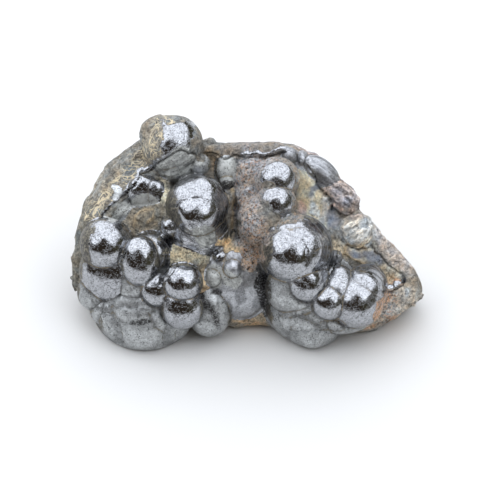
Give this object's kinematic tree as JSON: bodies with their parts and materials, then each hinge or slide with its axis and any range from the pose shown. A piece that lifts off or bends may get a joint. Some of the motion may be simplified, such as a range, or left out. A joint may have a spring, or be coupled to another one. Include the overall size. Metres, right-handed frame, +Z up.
{
  "type": "botryoidal hematite specimen",
  "caption": "Natural lump of botryoidal hematite: glossy steel-grey kidney-shaped domes grown over iron-stained matrix rock, on a flat base.",
  "frame": {"origin": "middle of the flat base, under the centre of the specimen's bounding box", "axes": "+Z up, +X to the right along the long side, -Y towards the domed face, which slopes up and back"},
  "size_m": [0.0793, 0.0452, 0.0397],
  "materials": {
    "hematite": "gloss"
  },
  "bodies": {
    "root": {"hematite": "hematite"}
  },
  "joints": []
}
